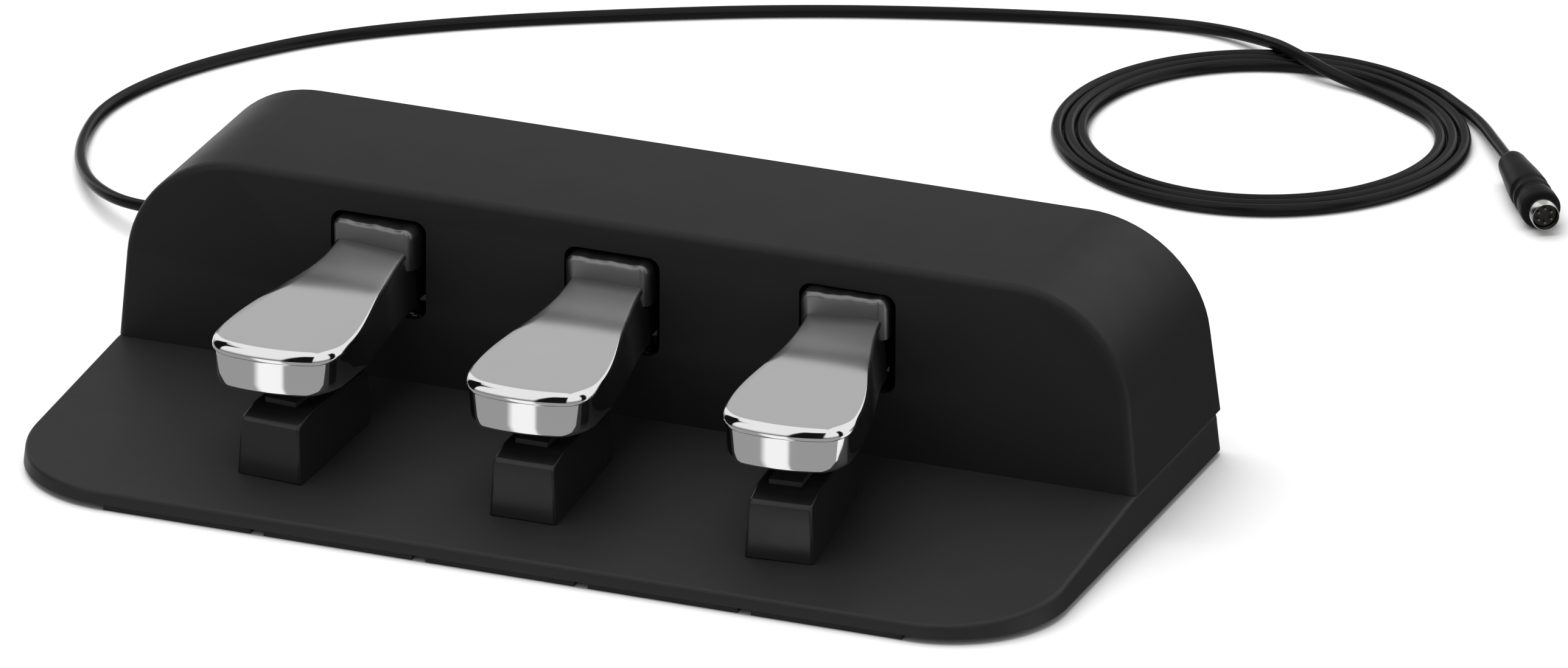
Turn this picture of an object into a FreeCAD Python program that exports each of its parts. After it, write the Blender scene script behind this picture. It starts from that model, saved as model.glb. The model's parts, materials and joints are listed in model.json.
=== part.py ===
import FreeCAD, Part
import math
import os
import Sketcher
from FreeCAD import Placement, Rotation, Vector

# Triple piano pedal unit: a low black housing, three fanned chrome pedals with stop
# blocks, their levers, springs and sensors inside, and a lead with a round plug.
# Frame: X across (+X to the player's right), Y from the front edge to the rear,
# Z up from the floor. Origin at the middle of the housing's footprint. Millimetres.

SIZES = {
    # housing
    "case_width": 345.0, "case_depth": 177.0, "case_height": 78.1,
    "corner_radius": 38.0, "rear_radius": 6.0, "foot_height": 2.0,
    "apron_front_z": 6.0, "deck_z": 14.1, "hood_front_y": 12.0,
    "base_flare": 6.6, "hood_draft": 5.2, "hood_radius": 39.0, "rear_lean": 6.8,
    "hood_edge": 3.0, "wall": 2.5, "plate_thick": 1.6,
    # pedal stations
    "group_offset": -3.3, "station_pitch": 78.6, "fan_angle": 4.85,
    "pedal_reach": 75.2, "pedal_front_z": 36.0, "pedal_top_z": 50.3,
    "pedal_slope": 0.11, "pedal_half": 21.3, "neck_half": 14.2, "pedal_wall": 2.8,
    "riser_half": 14.4, "riser_top_z": 67.0, "slot_half": 16.0,
    "slot_low_z": 35.5, "slot_high_z": 68.6,
    "pivot_y": 44.0, "pivot_z": 42.0, "pin_dia": 5.0, "bush_dia": 8.0, "bush_play": 0.05,
    "lever_thick": 2.5, "lever_half": 10.0, "lever_top_z": 48.5,
    "block_half": 10.0, "block_length": 47.0, "block_front_z": 26.8, "block_top_z": 29.0,
    "pad_half": 5.3, "pad_length": 17.0, "pad_thick": 2.0,
    "spring_dia": 12.0, "spring_wall": 1.4, "spring_y": 22.0,
    "sensor_y": 60.0, "sensor_z": 27.0, "board_top_z": 19.6, "board_front_y": 65.0,
    # lead and plug
    "cord_dia": 4.0, "loom_dia": 2.6, "gland_x": -105.0, "gland_z": 22.0,
    "coil_x": 92.9, "coil_y": 335.9,
    "coil_outer": 68.8, "coil_inner": 56.2, "coil_tall": 6.4,
    "plug_x": 179.7, "plug_y": 331.7, "plug_heading": -56.7,
    "plug_dia": 13.2, "plug_length": 42.0, "shell_dia": 9.2, "shell_length": 6.0,
}

doc = FreeCAD.newDocument("triple_pedal")
sheet = doc.addObject("Spreadsheet::Sheet", "sizes")
for row, (alias, value) in enumerate(SIZES.items(), start=1):
    sheet.set("A%d" % row, alias)
    sheet.set("B%d" % row, str(value))
    sheet.setAlias("B%d" % row, alias)
doc.recompute()

NODES = []
STATIONS = (("left", -1), ("centre", 0), ("right", 1))
LEVER_SCREWS_Y = (-36, -12)
BRACKET_SCREWS_X = (-18, 18)


def size(alias):
    """The value of one driving dimension."""
    return float(sheet.get(alias))


def node(obj, label, placement=None):
    """Names a finished sub-part and puts it in place."""
    obj.Label = label
    if placement is not None:
        obj.Placement = placement
    NODES.append(obj)
    return obj


def feature(label, shape, placement=None):
    """A sub-part whose shape is worked out in code from the sheet."""
    obj = doc.addObject("Part::Feature", label)
    obj.Shape = shape
    return node(obj, label, (placement or Placement()).multiply(shape.Placement))


def bind(obj, **sizes):
    """Binds properties of an object to expressions of the sheet."""
    for prop, formula in sizes.items():
        obj.setExpression(prop.replace("__", "."), formula)
    return obj


def block(x0, x1, y0, y1, z0, z1):
    return Part.makeBox(x1 - x0, y1 - y0, z1 - z0, Vector(x0, y0, z0))


def rod(dia, length, base, axis):
    return Part.makeCylinder(dia / 2, length, Vector(*base), Vector(*axis))


def station(side):
    """Placement of one pedal's own frame: origin at the hood's front, y to the rear."""
    place = Vector(size("group_offset") + side * size("station_pitch"), size("hood_front_y"), 0)
    return Placement(place, Rotation(Vector(0, 0, 1), side * size("fan_angle")))


def polygon_face(points):
    wire = Part.makePolygon([Vector(*p) for p in points] + [Vector(*points[0])])
    return Part.Face(wire)


# ---------------------------------------------------------------- housing
def footprint(inset, z):
    """Plan outline of the base, moved inwards: round front corners, nearly square rear ones."""
    half = size("case_width") / 2 - inset
    front = -size("case_depth") / 2 + inset
    rear = size("case_depth") / 2 - inset
    big = size("corner_radius") - inset
    small = max(size("rear_radius") - inset, 0.8)
    diag = math.sqrt(0.5)
    corners = [(half - big, front + big, big, 1, -1), (half - small, rear - small, small, 1, 1),
               (-half + small, rear - small, small, -1, 1), (-half + big, front + big, big, -1, -1)]
    edges = []
    last = None
    first = None
    for cx, cy, radius, sx, sy in corners:
        down = Vector(cx, cy + sy * radius, z)
        out = Vector(cx + sx * radius, cy, z)
        middle = Vector(cx + sx * radius * diag, cy + sy * radius * diag, z)
        start, end = (down, out) if sx * sy < 0 else (out, down)
        if last is not None:
            edges.append(Part.LineSegment(last, start).toShape())
        else:
            first = start
        edges.append(Part.Arc(start, middle, end).toShape())
        last = end
    edges.append(Part.LineSegment(last, first).toShape())
    return Part.Wire(edges)


def apron_z(y):
    """Height of the sloping apron at a distance y from the middle."""
    front = -size("case_depth") / 2
    rise = (size("deck_z") - size("apron_front_z")) / (size("hood_front_y") - front)
    return size("apron_front_z") + rise * (y - front)


def under_apron(drop, low_y, high_y, half):
    """A wedge of air or material below the apron's surface, from the floor up."""
    points = [(-half, low_y, 0), (-half, high_y, 0), (-half, high_y, apron_z(high_y) - drop),
              (-half, low_y, apron_z(low_y) - drop)]
    return polygon_face(points).extrude(Vector(2 * half, 0, 0))


def base_case():
    foot = size("foot_height")
    deck = size("deck_z")
    wall = size("wall")
    half = size("case_width") / 2
    front = -size("case_depth") / 2
    hood_y = size("hood_front_y")
    flare = math.tan(math.radians(size("base_flare")))
    solid = Part.makeLoft([footprint(0, foot), footprint((deck - foot) * flare, deck)], True, True)
    wedge = [(-half - 9, front - 9, apron_z(front - 9)), (-half - 9, hood_y, deck),
             (-half - 9, hood_y, deck + 9), (-half - 9, front - 9, deck + 9)]
    solid = solid.cut(polygon_face(wedge).extrude(Vector(2 * half + 18, 0, 0)))
    rim = [e for e in solid.Edges
           if e.BoundBox.ZMin > foot + 1 and e.BoundBox.YMin < hood_y - 1 and e.BoundBox.YMax < hood_y + 0.5
           and not (e.BoundBox.YLength < 0.01 and abs(e.BoundBox.YMax - hood_y) < 0.1)
           and e.BoundBox.ZLength < 9 and abs(e.BoundBox.ZMin - apron_z(e.BoundBox.YMin)) < 0.2]
    solid = solid.makeFillet(1.6, rim)
    plate_room = block(-half + 9, half - 9, front + 12, half, 0, foot + size("plate_thick"))
    plate_room = plate_room.common(Part.Face(footprint(wall + 0.5, 0)).extrude(Vector(0, 0, 9)))
    hollow = Part.Face(footprint(wall + 2, 0)).extrude(Vector(0, 0, deck))
    air = under_apron(wall, front + 12, hood_y, half).common(hollow)
    rear_air = block(-half, half, hood_y, half, 0, deck - wall).common(hollow)
    opening = block(-half + 24, half - 24, hood_y + 12, -front - 12, 0, deck + 1)
    solid = solid.cut(plate_room.fuse([air, rear_air, opening]))
    for x, y in plate_screw_places():
        top = (apron_z(y) if y < hood_y else deck) - wall / 2
        plate_top = foot + size("plate_thick")
        solid = solid.fuse(rod(8, top - plate_top, (x, y, plate_top), (0, 0, 1)))
    holes = [rod(3, 5.8, (x, y, foot), (0, 0, 1)) for x, y in plate_screw_places()]
    holes += [rod(3, wall + 1, (x, y, deck - wall - 0.5), (0, 0, 1)) for x, y in hood_screw_places()]
    return feature("base_case", solid.cut(holes[0].fuse(holes[1:])).removeSplitter())


def hood_outline(inset, y):
    """Cross-section of the hood: drafted sides and round shoulders, moved inwards."""
    draft = math.radians(size("hood_draft"))
    flare = math.tan(math.radians(size("base_flare")))
    low = size("deck_z")
    half = size("case_width") / 2 - (low - size("foot_height")) * flare - inset / math.cos(draft)
    top = size("case_height") - inset
    radius = size("hood_radius") - inset
    lean = math.tan(draft)
    centre_z = top - radius
    centre_x = half - lean * (centre_z - low) - radius / math.cos(draft)
    turn = Vector(centre_x + radius * math.cos(draft), 0, centre_z + radius * math.sin(draft))
    mid_angle = (draft + math.pi / 2) / 2
    middle = Vector(centre_x + radius * math.cos(mid_angle), 0, centre_z + radius * math.sin(mid_angle))
    crown = Vector(centre_x, 0, top)
    corner = Vector(half, 0, low)

    def left(p):
        return Vector(-p.x, y, p.z)

    def right(p):
        return Vector(p.x, y, p.z)

    edges = [Part.LineSegment(left(corner), right(corner)).toShape(),
             Part.LineSegment(right(corner), right(turn)).toShape(),
             Part.Arc(right(turn), right(middle), right(crown)).toShape(),
             Part.LineSegment(right(crown), left(crown)).toShape(),
             Part.Arc(left(crown), left(middle), left(turn)).toShape(),
             Part.LineSegment(left(turn), left(corner)).toShape()]
    return Part.Wire(edges)


def rear_y(z):
    """The hood's rear face leans forwards as it rises."""
    flare = math.tan(math.radians(size("base_flare")))
    foot_y = size("case_depth") / 2 - (size("deck_z") - size("foot_height")) * flare
    return foot_y - math.tan(math.radians(size("rear_lean"))) * (z - size("deck_z"))


def behind_rear(inset):
    """Everything behind the rear face, moved inwards."""
    half = size("case_width")
    low = size("deck_z") - 5
    high = size("case_height") + 5
    points = [(-half, rear_y(low) - inset, low), (-half, rear_y(high) - inset, high),
              (-half, half, high), (-half, half, low)]
    return polygon_face(points).extrude(Vector(2 * half, 0, 0))


def hood_cover():
    wall = size("wall")
    front = size("hood_front_y")
    deck = size("deck_z")
    depth = size("case_depth") / 2 - front
    outer = Part.Face(hood_outline(0, front)).extrude(Vector(0, depth, 0)).cut(behind_rear(0))
    edges = [e for e in outer.Edges if e.BoundBox.YMax < front + 0.01 and e.BoundBox.ZMax > deck + 1]
    outer = outer.makeFillet(size("hood_edge"), edges)
    inner = Part.Face(hood_outline(wall, front + wall)).extrude(Vector(0, depth, 0)).cut(behind_rear(wall))
    below = block(-400, 400, front + wall, 400, deck - 1, deck + 0.01).common(inner)
    solid = outer.cut(inner.fuse(below))
    for x, y in hood_screw_places():
        solid = solid.fuse(rod(8, 14, (x, y, deck), (0, 0, 1)))
    for _, side in STATIONS:
        rib = block(-9, 9, 22.5, 25.5, 51.0, size("case_height") - wall / 2)
        rib.Placement = station(side)
        solid = solid.fuse(rib)
    solid = solid.common(outer)
    for _, side in STATIONS:
        half = size("slot_half")
        slot = block(-half, half, -20, 12, size("slot_low_z"), size("slot_high_z"))
        slot = slot.makeFillet(4, [e for e in slot.Edges if e.BoundBox.YLength > 30])
        slot.Placement = station(side)
        solid = solid.cut(slot)
    holes = [rod(3, 9, (x, y, deck - 0.1), (0, 0, 1)) for x, y in hood_screw_places()]
    holes.append(rod(9, 20, (size("gland_x"), 75, size("gland_z")), (0, 1, 0)))
    return feature("hood_cover", solid.cut(holes[0].fuse(holes[1:])).removeSplitter())


def hood_screw_places():
    """Four screws behind the hood's front wall and two at its rear corners."""
    front_row = [(x, size("hood_front_y") + 6) for x in (-138, -43, 36, 138)]
    return front_row + [(x, size("case_depth") / 2 - 7.5) for x in (-138, 138)]


def plate_screw_places():
    """Four screws under the apron and three along the rear edge."""
    front_row = [(x, -38.0) for x in (-128, -45, 39, 128)]
    return front_row + [(x, size("case_depth") / 2 - 10) for x in (-120, 0, 120)]


def bracket_screw_places():
    """Two screws through the foot of each pivot bracket, as (x, y) on the plate."""
    places = []
    for _, side in STATIONS:
        for x in BRACKET_SCREWS_X:
            spot = station(side).multVec(Vector(x, size("pivot_y") + 1, 0))
            places.append((spot.x, spot.y))
    return places


def bottom_plate():
    """Steel closing plate: a sheet with the footprint's corners, drilled for its screws."""
    body = doc.addObject("PartDesign::Body", "bottom_plate_body")
    plane = [f for f in body.Origin.OriginFeatures if f.Role == "XY_Plane"][0]
    sketch = body.newObject("Sketcher::SketchObject", "plate_outline")
    sketch.AttachmentSupport = (plane, [""])
    sketch.MapMode = "FlatFace"
    corners = [Vector(-162, -75, 0), Vector(162, -75, 0), Vector(162, 82.5, 0), Vector(-162, 82.5, 0)]
    for index in range(4):
        sketch.addGeometry(Part.LineSegment(corners[index], corners[(index + 1) % 4]), False)
    for index in range(4):
        sketch.addConstraint(Sketcher.Constraint("Coincident", index, 2, (index + 1) % 4, 1))
    for index in (0, 2):
        sketch.addConstraint(Sketcher.Constraint("Horizontal", index))
        sketch.addConstraint(Sketcher.Constraint("Vertical", index + 1))
    formulas = (("DistanceX", (-1, 1, 0, 2), 162, "case_width / 2 - 10.5"),
                ("DistanceX", (0, 1, -1, 1), 162, "case_width / 2 - 10.5"),
                ("DistanceY", (0, 1, -1, 1), 75, "case_depth / 2 - 13.5"),
                ("DistanceY", (-1, 1, 1, 2), 82.5, "case_depth / 2 - 6"))
    for kind, places, value, formula in formulas:
        index = sketch.addConstraint(Sketcher.Constraint(kind, *places, value))
        parts = formula.split(" ", 1)
        sketch.setExpression("Constraints[%d]" % index, "sizes.%s %s" % (parts[0], parts[1]))
    pad = body.newObject("PartDesign::Pad", "plate_sheet")
    pad.Profile = sketch
    pad.setExpression("Length", "sizes.plate_thick")
    doc.recompute()
    upright = [e for e in range(len(pad.Shape.Edges)) if pad.Shape.Edges[e].BoundBox.ZLength > 1]
    round_off = body.newObject("PartDesign::Fillet", "plate_corners")
    round_off.Base = (pad, ["Edge%d" % (e + 1) for e in upright])
    round_off.Radius = 24
    doc.recompute()
    drill = body.newObject("Sketcher::SketchObject", "plate_holes")
    drill.AttachmentSupport = (plane, [""])
    drill.MapMode = "FlatFace"
    for x, y in plate_screw_places() + bracket_screw_places():
        drill.addGeometry(Part.Circle(Vector(x, y, 0), Vector(0, 0, 1), 1.5), False)
    pocket = body.newObject("PartDesign::Pocket", "plate_drilling")
    pocket.Profile = drill
    pocket.Type = 1
    pocket.Midplane = True
    before = round_off.Shape.Volume
    doc.recompute()
    if pocket.Shape.Volume > before - 1:
        raise RuntimeError("the plate's holes cut nothing")
    node(body, "bottom_plate", Placement(Vector(0, 0, size("foot_height")), Rotation()))


def rubber_parts():
    """Five strips under the front edge and three pads under the rear one."""
    front = -size("case_depth") / 2
    strips = [block(x - 24.75, x + 24.75, front + 0.8, front + 9.8, 0, size("foot_height"))
              for x in (-108, -54, 0, 54, 108)]
    feature("front_grip_strips", Part.makeCompound(strips))
    rear = -front - 17
    pads = [block(x - 30, x + 30, rear - 8, rear, 0, size("foot_height")) for x in (-120, 0, 120)]
    feature("rear_grip_strips", Part.makeCompound(pads))


def pan_screws(label, places, head_z, shank, head=5.5, head_tall=1.6, dia=3.0, placement=None, up=1):
    """A group of equal pan-head screws with heads ending at head_z, driven up (1) or down (-1)."""
    solids = []
    for x, y in places:
        screw = rod(dia, shank, (x, y, head_z), (0, 0, up))
        solids.append(screw.fuse(rod(head, head_tall, (x, y, head_z), (0, 0, -up))).removeSplitter())
    return feature(label, Part.makeCompound(solids), placement)


# ---------------------------------------------------------------- pedals
def pedal_outline(inset, z):
    """Plan of the pedal: broad rounded nose, belly, and a waist running to the neck."""
    nose = -size("pedal_reach")
    belly = size("pedal_half") - inset
    neck = size("neck_half") - inset
    corner_y = nose + 8
    waist_y = nose + 32
    neck_y = nose + 56
    end_y = 12.0 if inset == 0 else 14.0
    tip_x = belly - 5.0
    waist_x = (belly + neck) / 2 + 0.9
    right = [Part.Arc(Vector(tip_x, nose + 2.2 + inset, z), Vector(belly - 1.2, nose + 4.4 + inset * 0.7, z),
                      Vector(belly - 0.2, corner_y, z)),
             Part.Arc(Vector(belly - 0.2, corner_y, z), Vector(belly, nose + 15, z),
                      Vector(waist_x, waist_y, z)),
             Part.Arc(Vector(waist_x, waist_y, z),
                      Vector((waist_x + neck) / 2 - 0.7, (waist_y + neck_y) / 2, z),
                      Vector(neck, neck_y, z)),
             Part.LineSegment(Vector(neck, neck_y, z), Vector(neck, end_y, z))]
    edges = [Part.Arc(Vector(-tip_x, nose + 2.2 + inset, z), Vector(0, nose + inset, z),
                      Vector(tip_x, nose + 2.2 + inset, z)).toShape()]
    edges += [curve.toShape() for curve in right]
    edges.append(Part.LineSegment(Vector(neck, end_y, z), Vector(-neck, end_y, z)).toShape())
    for curve in reversed(right):
        mirrored = curve.toShape().mirror(Vector(0, 0, 0), Vector(1, 0, 0))
        edges.append(mirrored)
    return Part.Wire(Part.__sortEdges__(edges))


def above_top(lift, far):
    """Everything above the pedal's sloping top face, raised by lift."""
    nose = -size("pedal_reach")

    def top(y):
        return size("pedal_top_z") + lift + size("pedal_slope") * (y - nose)

    points = [(-60, nose - 9, top(nose - 9)), (-60, far, top(far)), (-60, far, 120), (-60, nose - 9, 120)]
    return polygon_face(points).extrude(Vector(120, 0, 0))


def pedal_casting():
    """Chrome casting: hollow paddle with skirts, a riser at the slot and a roof behind it."""
    low = size("pedal_front_z")
    skirt = Part.Face(pedal_outline(0, low)).extrude(Vector(0, 0, 40)).cut(above_top(0, 20))
    rim = [e for e in skirt.Edges if e.BoundBox.ZMin > low + 12 and e.BoundBox.YMin < -20]
    skirt = skirt.makeFillet(2.4, rim)
    sweep = polygon_face([(-60, -80, low - 0.1), (-60, 20, low - 0.1), (-60, 20, low + 4.6)])
    skirt = skirt.cut(sweep.extrude(Vector(120, 0, 0)))
    wall = size("pedal_wall")
    room = Part.Face(pedal_outline(wall, low - 1)).extrude(Vector(0, 0, 60)).cut(above_top(-wall, 20))
    top = size("riser_top_z")
    half = size("riser_half")
    riser = block(-half, half, -5.5, 12, 54, top)
    riser = riser.makeFillet(2.5, [e for e in riser.Edges if e.BoundBox.YMax < -5.4 and e.BoundBox.ZMax > 60])
    under = block(-half + 3, half - 3, -2.4, 13, 53, top - 3.2)
    shape = skirt.fuse(riser).cut(room.fuse(under))
    for y in LEVER_SCREWS_Y:
        shape = shape.fuse(rod(9, 5, (0, y, size("lever_top_z")), (0, 0, 1)))
    stop_rib = block(-8, 8, -62, -58.5, 38.4, 50)
    shape = shape.fuse(stop_rib)
    for y in LEVER_SCREWS_Y:
        shape = shape.cut(rod(4, 4.6, (0, y, size("lever_top_z") - 0.1), (0, 0, 1)))
    return shape.removeSplitter()


def pedal_lever():
    """Steel lever: a flat tongue under the casting that becomes a channel at the pivot."""
    thick = size("lever_thick")
    top = size("lever_top_z")
    half = size("lever_half")
    shape = block(-8.5, 8.5, -45, 0, top - thick, top).fuse(block(-half, half, 0, 58, top - thick, top))
    for side in (-1, 1):
        edge = sorted((side * half, side * (half - 2)))
        shape = shape.fuse(block(edge[0], edge[1], 12.6, 52, 37, top))
    shape = shape.cut(rod(size("bush_dia"), 40, (-20, size("pivot_y"), size("pivot_z")), (1, 0, 0)))
    for y in LEVER_SCREWS_Y:
        shape = shape.cut(rod(4, 10, (0, y, top - thick - 1), (0, 0, 1)))
    return shape.removeSplitter()


def pivot_bush():
    tube = rod(size("bush_dia"), 23.4, (-11.7, size("pivot_y"), size("pivot_z")), (1, 0, 0))
    bore = size("pin_dia") + 2 * size("bush_play")
    return tube.cut(rod(bore, 30, (-15, size("pivot_y"), size("pivot_z")), (1, 0, 0)))


def pivot_bracket(name, placement):
    """Folded steel bracket: foot and two cheeks, drilled for the pivot pin."""
    foot = doc.addObject("Part::Box", "bracket_foot_" + name)
    foot.Length, foot.Width, foot.Height = 44, 22, 2
    floor = size("foot_height") + size("plate_thick")
    foot.Placement = Placement(Vector(-22, 34, floor), Rotation())
    cheeks = []
    for index, x in enumerate((-14, 12)):
        cheek = doc.addObject("Part::Box", "bracket_cheek_%s_%d" % (name, index))
        cheek.Length, cheek.Width = 2, 14
        bind(cheek, Height="sizes.pivot_z + 6")
        cheek.Placement = Placement(Vector(x, 37, floor), Rotation())
        cheeks.append(cheek)
    folded = doc.addObject("Part::MultiFuse", "bracket_fold_" + name)
    folded.Shapes = [foot] + cheeks
    hole = doc.addObject("Part::Cylinder", "bracket_hole_" + name)
    bind(hole, Radius="sizes.pin_dia / 2")
    hole.Height = 40
    hole.Placement = Placement(Vector(-20, size("pivot_y"), size("pivot_z")), Rotation(Vector(0, 1, 0), 90))
    holes = [hole]
    for index, x in enumerate(BRACKET_SCREWS_X):
        screw_hole = doc.addObject("Part::Cylinder", "bracket_screw_hole_%s_%d" % (name, index))
        screw_hole.Radius, screw_hole.Height = 1.5, 9
        screw_hole.Placement = Placement(Vector(x, size("pivot_y") + 1, 0), Rotation())
        holes.append(screw_hole)
    drills = doc.addObject("Part::MultiFuse", "bracket_drills_" + name)
    drills.Shapes = holes
    drilled = doc.addObject("Part::Cut", "bracket_" + name)
    drilled.Base = folded
    drilled.Tool = drills
    return node(drilled, "pivot_bracket_" + name, placement)


def pivot_pin(name, placement):
    pin = doc.addObject("Part::Cylinder", "pin_" + name)
    bind(pin, Radius="sizes.pin_dia / 2")
    pin.Height = 32
    local = Placement(Vector(-16, size("pivot_y"), size("pivot_z")), Rotation(Vector(0, 1, 0), 90))
    return node(pin, "pivot_pin_" + name, placement.multiply(local))


def return_spring(name, placement):
    """A sleeve as large as the helical spring it stands for, between the plate and the lever."""
    floor = size("foot_height") + size("plate_thick")
    sleeve = doc.addObject("Part::Cut", "spring_" + name)
    coils = doc.addObject("Part::Cylinder", "spring_outside_" + name)
    hollow = doc.addObject("Part::Cylinder", "spring_inside_" + name)
    bind(coils, Radius="sizes.spring_dia / 2")
    bind(hollow, Radius="sizes.spring_dia / 2 - sizes.spring_wall")
    for tube in (coils, hollow):
        tube.Height = size("lever_top_z") - size("lever_thick") - floor - 0.2
    sleeve.Base = coils
    sleeve.Tool = hollow
    local = Placement(Vector(0, size("spring_y"), floor + 0.1), Rotation())
    return node(sleeve, "return_spring_" + name, placement.multiply(local))


def stop_block():
    """Plastic block on the apron; its top steps up behind a low front lip."""
    front = -size("pedal_reach") - 0.3
    rear = front + size("block_length")
    hood = size("hood_front_y")
    half = size("block_half")
    base = apron_z(hood + front) + 0.05
    rear_base = apron_z(hood + rear) + 0.05
    points = [(-half, front, base), (-half, front + 0.5, size("block_front_z")),
              (-half, front + 9.5, size("block_top_z")), (-half, rear, size("block_top_z")),
              (-half, rear, rear_base)]
    shape = polygon_face(points).extrude(Vector(2 * half, 0, 0))
    upright = [e for e in shape.Edges if e.BoundBox.XLength < 0.1 and e.BoundBox.ZLength > 10]
    return shape.makeFillet(1.0, upright)


def stop_pad(name, placement):
    pad = doc.addObject("Part::Box", "pad_" + name)
    bind(pad, Length="sizes.pad_half * 2", Width="sizes.pad_length", Height="sizes.pad_thick")
    corner = Vector(-size("pad_half"), -size("pedal_reach") + 9.4, size("block_top_z"))
    return node(pad, "stop_pad_" + name, placement.multiply(Placement(corner, Rotation())))


def upstop_felt(name, placement):
    felt = doc.addObject("Part::Box", "felt_" + name)
    felt.Length, felt.Width, felt.Height = 16, 10, 2.2
    local = Placement(Vector(-8, 19, size("lever_top_z") + 0.3), Rotation())
    return node(felt, "upstop_felt_" + name, placement.multiply(local))


def sensor_body(name, placement):
    body = doc.addObject("Part::Box", "sensor_box_" + name)
    body.Length, body.Width, body.Height = 12, 10, 12
    body.Placement = Placement(Vector(-6, size("sensor_y") - 5, size("board_top_z")), Rotation())
    hub = doc.addObject("Part::Cylinder", "sensor_hub_" + name)
    hub.Radius, hub.Height = 1.5, 6
    hub.Placement = Placement(Vector(4, size("sensor_y"), size("sensor_z")), Rotation(Vector(0, 1, 0), 90))
    joined = doc.addObject("Part::MultiFuse", "sensor_" + name)
    joined.Shapes = [body, hub]
    return node(joined, "pedal_sensor_" + name, placement)


def sensor_arm():
    """Arm on the sensor's shaft whose tip follows the underside of the lever's tail."""
    tip = Vector(0, -5.5, 17.1)
    bar = block(0, 2.4, -1.5, 1.5, 0, tip.Length)
    lean = math.degrees(math.atan2(-tip.y, tip.z))
    bar.Placement = Placement(Vector(0, 0, 0), Rotation(Vector(1, 0, 0), lean))
    arm = bar.fuse([rod(6, 2.4, (0, 0, 0), (1, 0, 0)), rod(3, 2.4, (0, tip.y, tip.z), (1, 0, 0))])
    arm.translate(Vector(6.6, size("sensor_y"), size("sensor_z")))
    return arm.cut(rod(3.1, 10, (4, size("sensor_y"), size("sensor_z")), (1, 0, 0))).removeSplitter()


def build_stations():
    casting = pedal_casting()
    for name, side in STATIONS:
        place = station(side)
        feature("pedal_" + name, casting.copy(), place)
        feature("pedal_lever_" + name, pedal_lever(), place)
        feature("pivot_bush_" + name, pivot_bush(), place)
        head_z = size("lever_top_z") - size("lever_thick")
        spots = [(0, y) for y in LEVER_SCREWS_Y]
        pan_screws("lever_screws_" + name, spots, head_z, 6.6, 7.0, 2.4, 4.0, place)
        feature("sensor_arm_" + name, sensor_arm(), place)
        pivot_bracket(name, place)
        pivot_pin(name, place)
        return_spring(name, place)
        feature("stop_block_" + name, stop_block(), place)
        stop_pad(name, place)
        upstop_felt(name, place)
        sensor_body(name, place)


# ---------------------------------------------------------------- board, lead and plug
def sensor_board():
    board = doc.addObject("Part::Box", "board_sheet")
    board.Length, board.Width, board.Height = 182, 11.6, 1.6
    place = Placement(Vector(-95, size("board_front_y"), size("board_top_z") - 1.6), Rotation())
    node(board, "sensor_board", place)
    floor = size("foot_height") + size("plate_thick")
    posts = [rod(6, size("board_top_z") - 1.6 - floor, (x, 71, floor), (0, 0, 1)) for x in (-40, 33)]
    feature("board_posts", Part.makeCompound(posts))
    heads = [rod(5.5, 1.8, (x, 71, size("board_top_z")), (0, 0, 1)) for x in (-40, 33)]
    feature("board_screws", Part.makeCompound(heads))
    feature("board_connector", block(-95, -87, 67, 75, size("board_top_z"), size("board_top_z") + 6))


def rounded_path(points, report):
    """Straight runs joined by tangent arcs, each as large as its two runs allow."""
    nodes = [Vector(*p) for p in points]
    edges = []
    last = nodes[0]
    for before, here, after in zip(nodes, nodes[1:], nodes[2:]):
        into = (here - before).normalize()
        out = (after - here).normalize()
        half_turn = into.getAngle(out) / 2
        cut = 0.45 * min((here - before).Length, (after - here).Length)
        radius = cut / math.tan(half_turn)
        report.append(radius)
        start = here - into * cut
        end = here + out * cut
        bisector = (out - into).normalize()
        middle = here + bisector * (radius / math.cos(half_turn) - radius)
        edges.append(Part.LineSegment(last, start).toShape())
        edges.append(Part.Arc(start, middle, end).toShape())
        last = end
    edges.append(Part.LineSegment(last, nodes[-1]).toShape())
    return Part.Wire(edges)


def cord_tube(label, points, dia):
    """A round tube along a rounded path; its volume is compared with section times length."""
    radii = []
    path = rounded_path(points, radii)
    start = Vector(*points[0])
    heading = (Vector(*points[1]) - start).normalize()
    profile = Part.Wire([Part.makeCircle(dia / 2, start, heading)])
    tube = path.makePipeShell([profile], True, False)
    expected = math.pi * dia * dia / 4 * path.Length
    print("%s: length %.1f, volume ratio %.4f, least radius %.1f, radii %s" % (
        label, path.Length, tube.Volume / expected, min(radii), [round(r) for r in radii]))
    return feature(label, tube)


FLOOR_CORD = SIZES["cord_dia"] / 2
LEAD_ROUTE = [
    (-105, 98.5, 22), (-106, 118, 21.5), (-120.5, 131.5, 20.5), (-145, 133.5, 18.5), (-171, 125, 15.5),
    (-195, 118.5, 12), (-217, 124, 9), (-236, 141, 6), (-250, 163, 3.6), (-259, 186, FLOOR_CORD),
    (-263.5, 213, FLOOR_CORD), (-257, 242, FLOOR_CORD), (-242, 270, FLOOR_CORD),
    (-218, 300, FLOOR_CORD), (-182, 327, FLOOR_CORD), (-136, 353, FLOOR_CORD),
    (-88, 377, FLOOR_CORD), (-37, 395.5, FLOOR_CORD), (13, 408.5, FLOOR_CORD),
    (42, 414, FLOOR_CORD + 0.4), (66, 406.5, FLOOR_CORD + 1.2), (83, 395, FLOOR_CORD + 1.6)]
TAIL_ROUTE = [(141, 382.6, FLOOR_CORD), (156.3, 368.4, 2.8), (168.4, 348.8, 4.8), (179.7, 331.7, 6.6)]
LOOM_ROUTE = [(-105, 81, 22), (-105, 74.5, 22), (-101.5, 71.2, 22.4), (-95, 71, 22.6)]


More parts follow.
